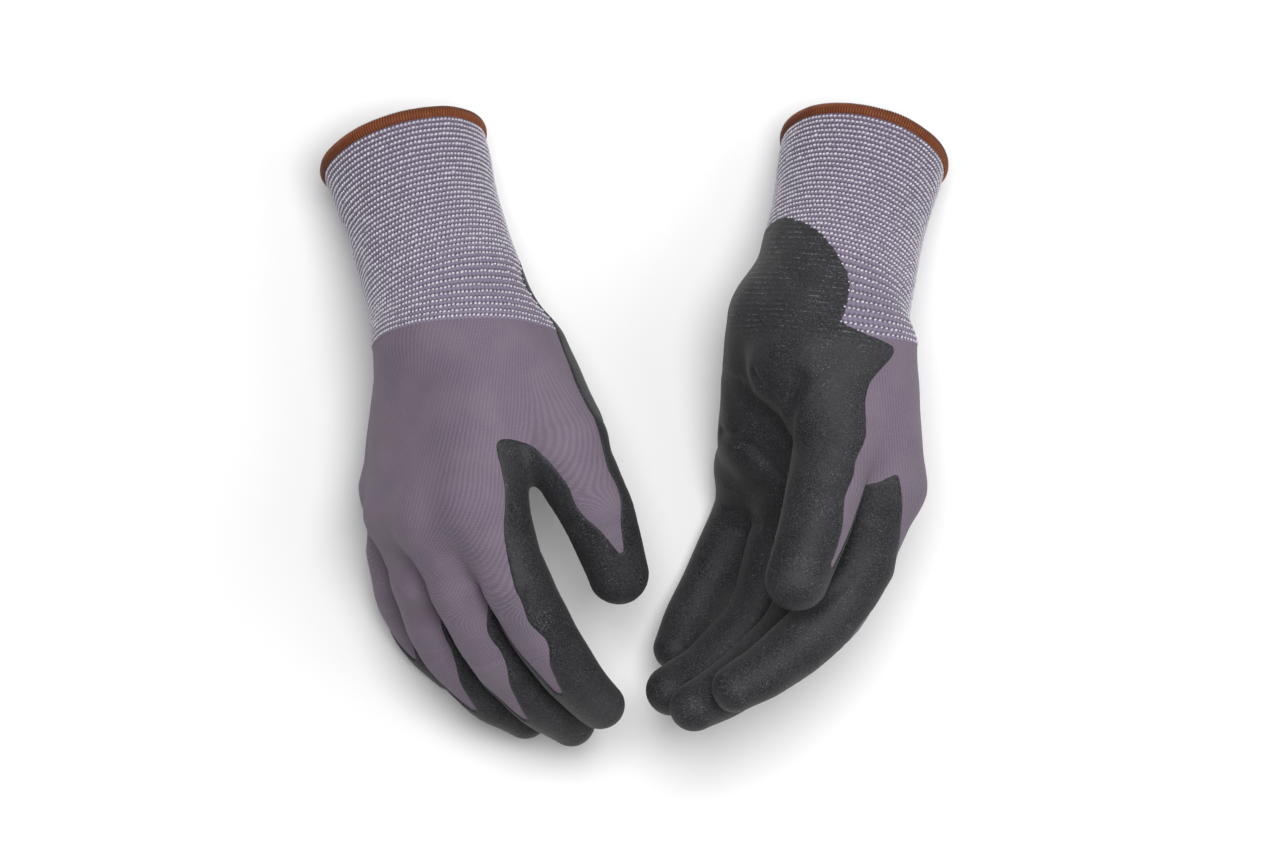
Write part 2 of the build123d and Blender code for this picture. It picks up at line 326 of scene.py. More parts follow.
def ripple(points, wavelength, seed):
    """Smooth irregular waves between about -1 and 1, the same on every run."""
    random = np.random.default_rng(seed)
    waves = random.normal(size=(5, 3)) * (2 * np.pi / wavelength / 1.6)
    phases = random.uniform(0, 2 * np.pi, 5)
    return np.sin(points @ waves.T + phases).mean(axis=1) * 1.6


class Digit:
    """One finger or thumb of a glove: its centre line, its radii and its back."""

    def __init__(self, side, name, flexion):
        root = place_of(JOINTS[f"{side}_{name}_root_bend"])
        middle = place_of(JOINTS[f"{side}_{name}_middle_bend"])
        self.bends = THUMB_BENDS if name == "thumb" else FINGER_BENDS
        self.points = [root, middle]
        for length, turn in zip(OUTER_LENGTHS[name], POSES[side]["turns"][name]):
            self.points.append(self.points[-1] + heading(*turn) * length)
        self.radii = np.array(RADII[name]) - COAT
        self.lengths = [np.linalg.norm(b - a) for a, b in zip(self.points, self.points[1:])]
        self.chain = rounded_bends(np.column_stack([np.array(self.points), self.radii]))
        self.first = unit(middle - root)
        self.flexion = flexion
        self.back = unit(np.array(POSES[side]["thumb_back"])) if name == "thumb" else None

    def dorsal(self, along):
        """Unit vector out of the back of the digit, where it runs along the given way."""
        if self.back is not None:
            return square_to(self.back, along)
        return -np.cross(self.flexion, square_to(along, self.flexion))

    def at(self, distance):
        """The point on the first stretch's line this far from the root."""
        return self.points[0] + self.first * distance

    def field(self, points):
        cones = (rounded_cone(points, a[:3], b[:3], a[3], b[3]) for a, b in zip(self.chain, self.chain[1:]))
        return reduce(np.minimum, cones)

    def measure(self, points):
        """How far along the digit each point is, and how far round it from the middle of its back."""
        best = np.full(len(points), np.inf)
        along = np.zeros(len(points))
        around = np.zeros(len(points))
        run = 0.0
        for place, length in enumerate(self.lengths):
            start, end = self.points[place], self.points[place + 1]
            way = unit(end - start)
            share = (points - start) @ way / length
            low = -np.inf if place == 0 else 0.0
            share = np.clip(share, low, np.inf if place == len(self.lengths) - 1 else 1)
            offset = points - start - share[:, None] * length * way
            away = np.linalg.norm(offset, axis=1)
            back = self.dorsal(way)
            angle = np.arctan2(offset @ np.cross(way, back), offset @ back)
            nearer = away < best
            best = np.where(nearer, away, best)
            along = np.where(nearer, run + share * length, along)
            around = np.where(nearer, angle, around)
            run += length
        return along, around

    def spine(self, distance, turn=0, last_turn=0):
        """The point on the digit's skin this far from its root, turned round from the back's middle.

        Along each stretch the turn changes from the first to the last.
        """
        place = 0
        while place < len(self.lengths) - 1 and distance > self.lengths[place]:
            distance -= self.lengths[place]
            place += 1
        share = distance / self.lengths[place]
        way = unit(self.points[place + 1] - self.points[place])
        radius = self.radii[place] + share * (self.radii[place + 1] - self.radii[place])
        turn = np.radians(turn + (last_turn - turn) * share)
        out = self.dorsal(way) * np.cos(turn) + np.cross(way, self.dorsal(way)) * np.sin(turn)
        return self.points[place] + way * distance + out * radius


class Glove:
    """One glove's centre lines and the fields that shape its skin."""

    def __init__(self, side):
        pose = POSES[side]
        self.side = side
        self.mouth = place_of(MOUNTS[f"{side}_hand_entry"])
        self.wrist = place_of(JOINTS[f"{side}_wrist_bend"])
        self.flexion = np.array(JOINTS[f"{side}_middle_root_bend"]["axis"])
        self.across = self.flexion * (-1 if side == "right" else 1)
        self.digits = {name: Digit(side, name, self.flexion) for name in DIGITS}
        self.carpals = dict(zip(FINGERS, np.array(pose["carpals"], float)))
        self.knuckles = dict(zip(FINGERS, np.array(pose["knuckles"], float)))
        self.mounds = pose["mounds"]
        self.along = unit(sum(self.knuckles.values()) / len(FINGERS) - self.wrist)
        self.dorsal = -np.cross(self.flexion, square_to(self.along, self.flexion))
        self.cuff_way = unit(self.mouth - self.wrist)
        self.cuff_length = np.linalg.norm(self.mouth - self.wrist)
        self.wrist_way = unit(self.cuff_way - self.along)

    # ---- Fields ----
    def palm_field(self, points):
        """The hand without its digits, and the cuff."""
        found = None
        for name in FINGERS:
            digit = self.digits[name]
            carpal, knuckle = self.carpals[name], self.knuckles[name]
            radius = KNUCKLE_RADII[name]
            web = digit.points[0] + unit(knuckle - digit.points[0]) * WEB_BACK
            ray = smooth_min(
                rounded_cone(points, carpal, knuckle, CARPAL_RADIUS, radius),
                rounded_cone(points, knuckle, web, radius, digit.radii[0]),
                FINGER_BLEND,
            )
            found = ray if found is None else smooth_min(found, ray, PALM_BLEND)
        for start, end, start_radius, end_radius in self.mounds:
            mound = rounded_cone(points, np.array(start), np.array(end), start_radius, end_radius)
            found = smooth_min(found, mound, MOUND_BLEND)
        return smooth_min(found, self.cuff_field(points), PALM_BLEND)

    def cuff_field(self, points):
        """A waisted tube from the wrist out past the mouth."""
        run = (points - self.wrist) @ self.cuff_way
        share = run / self.cuff_length
        away = np.linalg.norm(points - self.wrist - run[:, None] * self.cuff_way, axis=1)
        inside = np.maximum(-run, 0) ** 2 / CUFF_FADE
        return away - self.cuff_radius(share) + inside

    def cuff_radius(self, share):
        """The cuff's radius, from 0 at the wrist to 1 at the mouth."""
        near = WAIST_RADIUS + (WRIST_RADIUS - WAIST_RADIUS) * smoothstep(1 - share / WAIST_PLACE)
        far = smoothstep((share - WAIST_PLACE) / (1 - WAIST_PLACE))
        return near + (MOUTH_RADIUS - WAIST_RADIUS) * far

    def digit_fields(self, points):
        return np.stack([self.digits[name].field(points) for name in DIGITS])

    def field(self, points):
        """Signed distance from the liner's skin: the palm, and digits kept apart from each other."""
        fields = self.digit_fields(points)
        apart = None
        for place, name in enumerate(DIGITS):
            others = np.delete(fields, place, axis=0).min(axis=0)
            digit = np.maximum(fields[place], (fields[place] - others) / 2 + SLOT)
            apart = digit if apart is None else np.minimum(apart, digit)
        skin = smooth_min(self.palm_field(points), apart, ROOT_BLEND)
        return skin + self.relief(points)

    def box(self):
        """The low and high corners of the hand's box, as far up the cuff as the coating reaches."""
        heel = self.wrist + self.cuff_way * (BARE[self.side]["heel"][0] + HEEL_SPARE)
        balls = [(self.wrist, WRIST_BALL), (heel, WRIST_BALL)]
        balls += [(self.knuckles[name], KNUCKLE_RADII[name] + KNUCKLE_SPARE) for name in FINGERS]
        for digit in self.digits.values():
            balls += list(zip(digit.points, digit.radii + DIGIT_SPARE))
        low = np.min([point - radius for point, radius in balls], axis=0)
        return low, np.max([point + radius for point, radius in balls], axis=0)

    def relief(self, points):
        """Slack in the cloth, and folds pressed into it."""
        found = sum(ripple(points, wavelength, seed) * height for wavelength, height, seed in SLACK)
        for *line, width, depth in FOLDS[self.side]:
            line = np.array(line, float)
            away = reduce(np.minimum, (rounded_cone(points, a, b, 0, 0) for a, b in zip(line, line[1:])))
            found = found + depth * smoothstep(1 - away / width)
        return found

    def normals(self, points):
        return unit_rows(self.gradient(points, self.field))

    def gradient(self, points, field, delta=0.05):
        found = np.empty_like(points)
        for axis in range(3):
            step = np.zeros(3)
            step[axis] = delta
            found[:, axis] = (field(points + step) - field(points - step)) / (2 * delta)
        return found

    # ---- Coating ----
    def strokes(self):
        """The bare cloth: tapered strokes along the back of the hand and of each digit."""
        bare = BARE[self.side]
        wrist_width, wrist_turn = bare["wrist"]
        wrist = self.wrist + self.dorsal * WRIST_RADIUS + self.cuff_way * BARE_START
        found = []
        for name in FINGERS:
            knuckle = self.knuckles[name] + self.dorsal * KNUCKLE_RADII[name]
            reach, *widths, turn, last_turn = bare[name]
            found.append((wrist, knuckle, wrist_width, widths[0]))
            found += self.along_back(name, [knuckle], reach, widths, (turn, last_turn))
        reach, *widths, turn, last_turn = bare["thumb"]
        wrist_turn = np.radians(wrist_turn)
        out = self.dorsal * np.cos(wrist_turn) - self.across * np.sin(wrist_turn)
        start = self.wrist + out * WRIST_RADIUS
        base = self.digits["thumb"].spine(THUMB_BASE, turn, last_turn)
        return found + self.along_back("thumb", [start, base], reach, widths, (turn, last_turn))

    def along_back(self, name, chain, reach, widths, turns):
        """Strokes through the given points and on along a digit's back, with their half widths."""
        chain = chain + [self.digits[name].spine(share * reach, *turns) for share in (0, 0.5, 1)]
        widths = widths + [BARE_TIP]
        return list(zip(chain, chain[1:], widths, widths[1:]))

    def coat_mask(self, points):
        """How far inside the coating's edge each point is; below 0 the cloth is bare."""
        bare = None
        for start, end, start_width, end_width in self.strokes():
            stroke = rounded_cone(points, start, end, start_width, end_width)
            bare = stroke if bare is None else smooth_min(bare, stroke, BARE_BLEND)
        heel = self.heel(points)
        cuff = smoothstep((self.cuff_run(points) + EDGE_FADE / 2) / EDGE_FADE)
        sway, sway_height = EDGE_SWAY
        steps, steps_height, more = EDGE_STEPS
        edge = ripple(points, sway, 11) * sway_height
        edge = edge + ripple(points, steps, 12) * (steps_height + more * cuff)
        return bare * (1 - cuff) + np.minimum(heel, bare) * cuff + edge

    def cuff_run(self, points):
        """How far each point is past the wrist's plane, towards the mouth."""
        return (points - self.wrist) @ self.wrist_way

    def heel(self, points):
        """The rounded end of the coating on the palm side of the cuff."""
        palmar = square_to(-self.dorsal, self.cuff_way)
        side = np.cross(self.cuff_way, palmar)
        reach, width, turn = BARE[self.side]["heel"]
        turned = np.radians(turn) * (1 if self.side == "right" else -1)
        middle = palmar * np.cos(turned) + side * np.sin(turned)
        end = self.wrist + self.cuff_way * (reach - width) + middle * WAIST_RADIUS
        start = self.wrist - self.cuff_way * HEEL_START + middle * WRIST_RADIUS * HEEL_PROUD
        return -rounded_cone(points, start, end, width * HEEL_SPREAD, width)

    # ---- Knit ----
    def knit(self, points):
        """Wales and courses at each point, in millimetres, and how ribbed the cloth is there."""
        offset = points - self.wrist
        side, up = offset @ self.across, offset @ self.dorsal
        wales = HAND_ROUND * np.arctan2(side, up * HAND_FLATNESS)
        courses = -self.cuff_run(points)
        fields = self.digit_fields(points)
        for place, name in enumerate(DIGITS):
            digit = self.digits[name]
            along, around = digit.measure(points)
            root = digit.spine(0) - self.wrist
            first = HAND_ROUND * np.arctan2(root @ self.across, root @ self.dorsal * HAND_FLATNESS)
            turn = 1 if self.side == "right" else -1
            digit_wales = first + turn * around * digit.radii[0]
            digit_courses = along - root @ self.wrist_way
            others = np.delete(fields, place, axis=0).min(axis=0)
            share = smoothstep((along - digit.bends["knit"]) / KNIT_TURN)
            share = share * smoothstep((others - fields[place]) / KNIT_OWN)
            wales = wales * (1 - share) + digit_wales * share
            courses = courses * (1 - share) + digit_courses * share
        ribbed = smoothstep(1 + self.cuff_run(points) / RIB_FADE)
        return np.stack([wales, courses, ribbed], axis=1)


# ---- Meshes ----
def sample(field, axes, step, block=4, batch=200000):
    """The field on a grid; far from the surface, where only its sign matters, one value fills a block."""
    shape = np.array([len(axis) for axis in axes])
    starts = np.array(list(product(*(range(0, size, block) for size in shape))))
    inner = np.array(list(product(range(block), repeat=3)))

    def places(index):
        return np.stack([axis[index[..., way]] for way, axis in enumerate(axes)], axis=-1)

    found = field(places(np.minimum(starts + block // 2, shape - 1)))
    near = np.abs(found) < step * block * 1.1
    values = np.empty(shape)
    index = np.minimum(starts[~near][:, None] + inner, shape - 1)
    values[tuple(np.moveaxis(index, -1, 0))] = found[~near][:, None]
    index = np.minimum(starts[near][:, None] + inner, shape - 1).reshape(-1, 3)
    for first in range(0, len(index), batch):
        part = index[first : first + batch]
        values[tuple(part.T)] = field(places(part))
    return values


def surface_net(field, low, high, step):
    """Points and quads of the surface where the field is 0, on a grid of the given step."""
    axes = [np.arange(start, end + step, step) for start, end in zip(low, high)]
    shape = tuple(len(axis) for axis in axes)
    values = sample(field, axes, step)
    inside = values < 0
    cells = tuple(size - 1 for size in shape)
    total = np.zeros(cells, int)
    for corner in product((0, 1), repeat=3):
        total += inside[tuple(slice(c, c + n) for c, n in zip(corner, cells))]
    active = (total > 0) & (total < 8)
    index = np.full(cells, -1)
    index[active] = np.arange(active.sum())
    sums, counts = np.zeros((active.sum(), 3)), np.zeros(active.sum())
    quads = []
    for axis in range(3):
        first = [slice(None)] * 3
        second = [slice(None)] * 3
        first[axis], second[axis] = slice(0, -1), slice(1, None)
        a, b = values[tuple(first)], values[tuple(second)]
        edges = np.argwhere((a < 0) != (b < 0))
        a, b = a[tuple(edges.T)], b[tuple(edges.T)]
        crossing = edges.astype(float)
        crossing[:, axis] += a / (a - b)
        other = [(axis + 1) % 3, (axis + 2) % 3]
        ring = []
        for back in ((0, 0), (1, 0), (1, 1), (0, 1)):
            cell = edges.copy()
            cell[:, other[0]] -= back[0]
            cell[:, other[1]] -= back[1]
            real = ((cell >= 0) & (cell < cells)).all(axis=1)
            found = np.full(len(edges), -1)
            found[real] = index[tuple(cell[real].T)]
            np.add.at(sums, found[real], crossing[real])
            np.add.at(counts, found[real], 1)
            ring.append(found)
        ring = np.stack(ring, axis=1)
        whole = (ring >= 0).all(axis=1)
        ring, outward = ring[whole], (a < 0)[whole]
        quads.append(np.where(outward[:, None], ring, ring[:, ::-1]))
    points = np.array(low) + step * sums / counts[:, None]
    return points, np.concatenate(quads)


def settle(glove, points, quads, rounds=3, pace=0.5):
    """Spreads the points evenly over the skin and puts them on it."""
    edges = np.concatenate([quads[:, [a, (a + 1) % 4]] for a in range(4)])
    for _ in range(rounds):
        sums, counts = np.zeros_like(points), np.zeros(len(points))
        np.add.at(sums, edges[:, 0], points[edges[:, 1]])
        np.add.at(counts, edges[:, 0], 1)
        normal = glove.normals(points)
        shift = sums / np.maximum(counts, 1)[:, None] - points
        shift -= (shift * normal).sum(axis=1)[:, None] * normal
        points = onto_skin(glove, points + shift * pace)
    return points


def onto_skin(glove, points, least_slope=0.5):
    slope = glove.gradient(points, glove.field)
    steep = np.maximum((slope * slope).sum(axis=1), least_slope**2)
    move = glove.field(points) / steep
    return points - np.clip(move, -STEP, STEP)[:, None] * slope


def triangles_of(quads):
    return np.concatenate([quads[:, [0, 1, 2]], quads[:, [0, 2, 3]]])


class Skin:
    """Triangles and what is known at their corners: places, and one row of values for each name."""

    def __init__(self, points, faces, values):
        self.points = points
        self.faces = faces
        self.values = values

    def cut(self, value, snap=0.15):
        """Adds points where the value is 0, so that no triangle crosses it. Returns the value."""
        faces = self.faces
        negative = value < 0
        edges = np.sort(np.concatenate([faces[:, [0, 1]], faces[:, [1, 2]], faces[:, [2, 0]]]), axis=1)
        edges = np.unique(edges[negative[edges[:, 0]] != negative[edges[:, 1]]], axis=0)
        if not len(edges):
            return value
        a, b = edges.T
        share = value[a] / (value[a] - value[b])
        low, high = share < snap, share > 1 - snap
        place = self.points[a] + share[:, None] * (self.points[b] - self.points[a])
        points = self.points.copy()
        value = value.copy()
        for near, corner in ((low, a), (high, b)):
            points[corner[near]] = place[near]
            value[corner[near]] = 0
        fresh = ~(low | high)
        number = np.where(low, a, b)
        number[fresh] = len(points) + np.arange(fresh.sum())
        size = len(self.points)
        keys = a * size + b
        crossed = negative[faces]
        count = crossed.sum(axis=1)
        whole = faces[(count == 0) | (count == 3)]
        split = faces[(count == 1) | (count == 2)]
        signs = negative[split]
        lone_sign = signs.sum(axis=1) == 1
        lone = np.where(signs == lone_sign[:, None], 1, 0).argmax(axis=1)
        rows = np.arange(len(split))
        p, q, r = (split[rows, (lone + turn) % 3] for turn in range(3))

        def crossing(one, other):
            key = np.minimum(one, other) * size + np.maximum(one, other)
            return number[np.searchsorted(keys, key)]

        pq, pr = crossing(p, q), crossing(p, r)
        new = np.concatenate([np.stack(t, axis=1) for t in ((p, pq, pr), (pq, q, r), (pq, r, pr))])
        faces = np.concatenate([whole, new])
        real = (faces[:, 0] != faces[:, 1]) & (faces[:, 1] != faces[:, 2]) & (faces[:, 2] != faces[:, 0])
        self.faces = faces[real]
        self.points = np.concatenate([points, place[fresh]])
        a, b, share = a[fresh], b[fresh], share[fresh]
        for name, row in self.values.items():
            self.values[name] = np.concatenate([row, row[a] * (1 - share) + row[b] * share])
        return np.concatenate([value, np.zeros(fresh.sum())])

    def part(self, chosen):
        """The chosen faces as a skin of their own."""
        faces = self.faces[chosen]
        used, renamed = np.unique(faces, return_inverse=True)
        values = {name: row[used] for name, row in self.values.items()}
        return Skin(self.points[used], renamed.reshape(faces.shape), values)

    def normals(self, points):
        a, b, c = (points[self.faces[:, corner]] for corner in range(3))
        across = np.cross(b - a, c - a)
        sums = np.zeros_like(points)
        for corner in range(3):
            np.add.at(sums, self.faces[:, corner], across)
        return sums / np.maximum(np.linalg.norm(sums, axis=1), 1e-9)[:, None]


def above_floor(points, height=FLOOR):
    points[:, 2] = np.maximum(points[:, 2], height)
    return points


def add_mesh(name, points, faces, material, normals=None, knit=None):
    """A Blender object from points in millimetres."""
    mesh = bpy.data.meshes.new(name)
    mesh.from_pydata((points * MM).tolist(), [], faces.tolist() if hasattr(faces, "tolist") else faces)
    mesh.shade_smooth()
    if knit is not None:
        give_knit(mesh, knit, "POINT")
    if normals is not None:
        mesh.normals_split_custom_set_from_vertices(normals.tolist())
    piece = bpy.data.objects.new(name, mesh)
    bpy.context.scene.collection.objects.link(piece)
    mesh.materials.append(material)
    return piece


def give_knit(mesh, knit, domain):
    attribute = mesh.attributes.new("knit", "FLOAT_VECTOR", domain)
    attribute.data.foreach_set("vector", knit.astype(np.float32).ravel())


def open_edges(faces):
    """Edges that only one face has, in that face's direction."""
    edges = np.concatenate([faces[:, [0, 1]], faces[:, [1, 2]], faces[:, [2, 0]]])
    keys = np.sort(edges, axis=1)
    _, first, counts = np.unique(keys, axis=0, return_index=True, return_counts=True)
    return edges[first[counts == 1]]


def add_shell(name, skin, outer, inner, material):
    """A closed shell between two places of the same skin."""
    size = len(outer)
    rim = open_edges(skin.faces)
    a, b = rim.T
    side = np.concatenate([np.stack([b, a, a + size], axis=1), np.stack([b, a + size, b + size], axis=1)])
    faces = np.concatenate([skin.faces, skin.faces[:, ::-1] + size, side])
    normals = np.concatenate([skin.values["normal"], -skin.values["normal"]])
    knit = np.concatenate([skin.values["knit"]] * 2)
    points = above_floor(np.concatenate([outer, inner]))
    return add_mesh(name, points, faces, material, normals, knit)


# ---- Materials ----
class Material:
    """A node tree with short calls for the nodes that these materials share."""

    def __init__(self, name, roughness, sheen=0.0, specular=0.5):
        self.material = bpy.data.materials.new(name)
        self.material.use_nodes = True
        self.tree = self.material.node_tree
        self.shader = self.tree.nodes["Principled BSDF"]
        self.give(self.shader.inputs["Roughness"], roughness)
        self.give(self.shader.inputs["Sheen Weight"], sheen)
        self.give(self.shader.inputs["Sheen Roughness"], SHEEN_ROUGHNESS)
        self.give(self.shader.inputs["Specular IOR Level"], specular)

    def node(self, kind, **inputs):
        made = self.tree.nodes.new(kind)
        for key, value in inputs.items():
            self.give(made.inputs[key.replace("_", " ")], value)
        return made

    def give(self, socket, value):
        if isinstance(value, bpy.types.NodeSocket):
            self.tree.links.new(value, socket)
        else:
            socket.default_value = value

    def place(self):
        """The point on the piece, in millimetres."""
        scale = self.node("ShaderNodeVectorMath")
        scale.operation = "SCALE"
        self.give(scale.inputs[0], self.node("ShaderNodeTexCoord").outputs["Object"])
        scale.inputs["Scale"].default_value = 1 / MM
        return scale.outputs["Vector"]

    def noise(self, size, detail=2.0, roughness=0.5):
        made = self.node("ShaderNodeTexNoise", Scale=1 / size, Detail=detail, Roughness=roughness)
        self.give(made.inputs["Vector"], self.place())
        return made.outputs["Fac"]

    def math(self, operation, a, b=0.0):
        made = self.node("ShaderNodeMath")
        made.operation = operation
        self.give(made.inputs[0], a)
        self.give(made.inputs[1], b)
        return made.outputs["Value"]

    def times(self, a, b):
        return self.math("MULTIPLY", a, b)

    def plus(self, a, b):
        return self.math("ADD", a, b)

    def ramp(self, value, low, high, start=0.0, end=1.0):
        made = self.node("ShaderNodeMapRange", From_Min=low, From_Max=high, To_Min=start, To_Max=end)
        made.interpolation_type = "SMOOTHSTEP"
        self.give(made.inputs["Value"], value)
        return made.outputs["Result"]

    def mix(self, share, a, b):
        made = self.node("ShaderNodeMix")
        made.data_type = "RGBA"
        self.give(made.inputs["Factor"], share)
        self.give(made.inputs[6], a)
        self.give(made.inputs[7], b)
        return made.outputs[2]

    def knit(self):
        """Wales, courses and ribbing as three values."""
        attribute = self.node("ShaderNodeAttribute")
        attribute.attribute_name = "knit"
        split = self.node("ShaderNodeSeparateXYZ")
        self.give(split.inputs["Vector"], attribute.outputs["Vector"])
        return split.outputs["X"], split.outputs["Y"], split.outputs["Z"]

    def wave(self, value, pitch):
        """A smooth wave from -1 to 1 with the given pitch."""
        return self.math("SINE", self.times(value, 2 * np.pi / pitch))

    def bump(self, height, distance, strength, before=None):
        made = self.node("ShaderNodeBump", Strength=strength, Distance=distance * MM, Height=height)
        if before is not None:
            self.give(made.inputs["Normal"], before)
        return made.outputs["Normal"]

    def finish(self, color, roughness=None, normal=None):
        self.give(self.shader.inputs["Base Color"], color)
        if roughness is not None:
            self.give(self.shader.inputs["Roughness"], roughness)
        if normal is not None:
            self.give(self.shader.inputs["Normal"], normal)
        return self.material


def liner_material():
    """Fine jersey knit: columns of little loops in grey purple nylon."""
    made = Material("liner_knit", 0.82, sheen=0.08, specular=0.2)
    wales, courses, _ = made.knit()
    wobble = made.times(made.noise(6.0), 0.5)
    columns = made.wave(made.plus(wales, wobble), WALE_PITCH)
    shifted = made.plus(courses, made.times(made.math("ABSOLUTE", columns), LOOP_SLANT))
    rows = made.wave(shifted, COURSE_PITCH)
    loops = made.times(made.plus(columns, 1.0), made.plus(rows, 1.6))
    patches = made.noise(14.0, detail=3.0)
    yarn = made.noise(0.45)
    depth = made.plus(made.times(loops, 0.08), made.times(yarn, 0.45))
    shade = made.mix(made.ramp(depth, 0.05, 1.0), LINER_DARK, LINER_LIGHT)
    color = made.mix(made.ramp(patches, 0.3, 0.7, 0.0, 0.35), shade, LINER_ROSE)
    return made.finish(color, normal=made.bump(depth, 0.22, 0.7))


def coat_material():
    """Foam nitrile: matte, sandy, with pale fibres showing where it is thin."""
    made = Material("coating", 0.6, sheen=0.04, specular=0.3)
    _, courses, ribbed = made.knit()
    grain = made.noise(0.52, detail=3.0, roughness=0.7)
    pores = made.noise(1.3)
    clouds = made.noise(16.0)
    specks = made.ramp(made.noise(0.55, detail=1.0, roughness=0.4), 0.63, 0.72)
    specks = made.times(specks, made.ramp(made.noise(7.0), 0.42, 0.7, 0.15, 1.0))
    rows = made.ramp(made.wave(courses, ROW_PITCH), 0.55, 0.95)
    dashes = made.times(made.ramp(made.noise(0.8), 0.5, 0.62), made.ramp(made.noise(9.0), 0.35, 0.65))
    ribs = made.times(made.times(rows, ribbed), dashes)
    shade = made.mix(made.ramp(clouds, 0.3, 0.72), COAT_DARK, COAT_LIGHT)
    shade = made.mix(made.ramp(grain, 0.4, 0.68, 0.0, 0.8), shade, COAT_GRAIN)
    shade = made.mix(made.times(specks, 0.55), shade, COAT_SPECK)
    color = made.mix(made.times(ribs, 0.6), shade, COAT_SPECK)
    roughness = made.ramp(grain, 0.3, 0.7, 0.54, 0.74)
    height = made.plus(made.times(grain, 0.5), made.times(pores, 0.5))
    normal = made.bump(height, 0.3, 0.7)
    relief = made.times(made.wave(courses, ROW_PITCH), ribbed)
    return made.finish(color, roughness, made.bump(relief, 0.06, 0.6, normal))


def cuff_material():
    """Ribbed cuff: the liner's nylon drawn into courses by the elastic."""
    made = Material("cuff_knit", 0.82, sheen=0.08, specular=0.2)
    wales, courses, _ = made.knit()
    columns = made.wave(wales, 1.0)
    rows = made.wave(courses, 1.0)
    yarn = made.noise(0.4)
    loops = made.plus(made.times(columns, 0.3), made.times(rows, 0.5))
    depth = made.plus(loops, made.times(yarn, 0.5))
    color = made.mix(made.ramp(depth, -0.6, 0.9), CUFF_DARK, CUFF_LIGHT)
    return made.finish(color, normal=made.bump(depth, 0.25, 0.8))


def elastic_material():
    """White elastic thread wrapped in nylon."""
    made = Material("elastic", 0.6, sheen=0.2, specular=0.4)
    yarn = made.noise(0.35)
    color = made.mix(made.ramp(yarn, 0.35, 0.65), ELASTIC_DARK, ELASTIC_LIGHT)
    return made.finish(color, normal=made.bump(yarn, 0.1, 0.5))


def hem_material():
    """Brown overlocking thread, wound close."""
    made = Material("hem_binding", 0.6, sheen=0.05, specular=0.2)
    turns, around, _ = made.knit()
    thread = made.wave(made.plus(turns, made.times(around, 0.3)), 1.0)
    fibre = made.noise(0.3)
    patches = made.noise(5.0)
    depth = made.plus(made.times(thread, 0.5), fibre)
    shade = made.mix(made.ramp(depth, 0.1, 1.0), HEM_DARK, HEM_LIGHT)
    color = made.mix(made.ramp(patches, 0.35, 0.7, 0.0, 0.4), shade, HEM_DARK)
    return made.finish(color, normal=made.bump(depth, 0.2, 0.7))


# ---- Pieces ----
def glove_skin(glove):
    """The skin of the hand, with an edge wherever two pieces meet or the coating ends."""
    points, quads = surface_net(glove.field, *glove.box(), STEP)
    points = settle(glove, points, quads)
    skin = Skin(points, triangles_of(quads), {})
    skin.values["mask"] = glove.coat_mask(points)
    for level, _ in RIM:
        skin.values["mask"] = skin.cut(skin.values["mask"] - level) + level
    cut_off(skin, "cuff", glove.cuff_run(skin.points))
    for place, (name, digit) in enumerate(glove.digits.items()):
        starts = {"base": digit.bends["root"][0], "end": digit.bends["cut"] * digit.lengths[0]}
        for label, distance in starts.items():
            fields = glove.digit_fields(skin.points)
            own = (fields.argmin(axis=0) == place) & (fields[place] < OWN_REACH)
            run = (skin.points - digit.points[0]) @ digit.first - distance
            cut_off(skin, f"{name}_{label}", np.where(own, run, -1.0))
    normal = glove.normals(skin.points)
    depths, shares = zip(*RIM)
    thickness = COAT * np.interp(skin.values["mask"], depths, shares)
    skin.values["thickness"] = thickness[:, None] * normal
    skin.values["normal"] = normal
    skin.values["coat_normal"] = skin.normals(skin.points + skin.values["thickness"])
    skin.values["knit"] = glove.knit(skin.points)
    return skin


def cut_off(skin, name, value):
    skin.values[name] = value
    skin.values[name] = skin.cut(value)


def past(skin, name):
    """Which faces lie past a cut."""
    return skin.values[name][skin.faces].mean(axis=1) > 0


def without_crumbs(skin):
    """The skin without small loose scraps."""
    edges = np.concatenate([skin.faces[:, [0, 1]], skin.faces[:, [1, 2]]])
    label = np.arange(len(skin.points))
    while True:
        low = label[edges].min(axis=1)
        new = label.copy()
        np.minimum.at(new, edges[:, 0], low)
        np.minimum.at(new, edges[:, 1], low)
        new = new[new]
        if (new == label).all():
            break
        label = new
    face_label = label[skin.faces[:, 0]]
    sizes = np.bincount(face_label, minlength=len(label))
    return skin.part(sizes[face_label] >= FEWEST_FACES)


def liner_piece(name, skin, material):
    skin = without_crumbs(skin)
    return add_shell(name, skin, skin.points, skin.points - skin.values["normal"] * LINER, material)


def coat_piece(name, skin, material):
    skin = without_crumbs(skin)
    under = skin.points - skin.values["normal"] * COAT_SINK
    over = skin.points + skin.values["thickness"]
    skin.values["normal"] = skin.values["coat_normal"]
    return add_shell(name, skin, over, under, material)


def bend(piece, first, second, start, end):
    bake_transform(piece)


def bend_at_wrist(piece, glove):
    end = glove.wrist + glove.wrist_way * WRIST_BEND
    bend(piece, f"{glove.side}_hand", f"{glove.side}_wrist_cuff", glove.wrist, end)


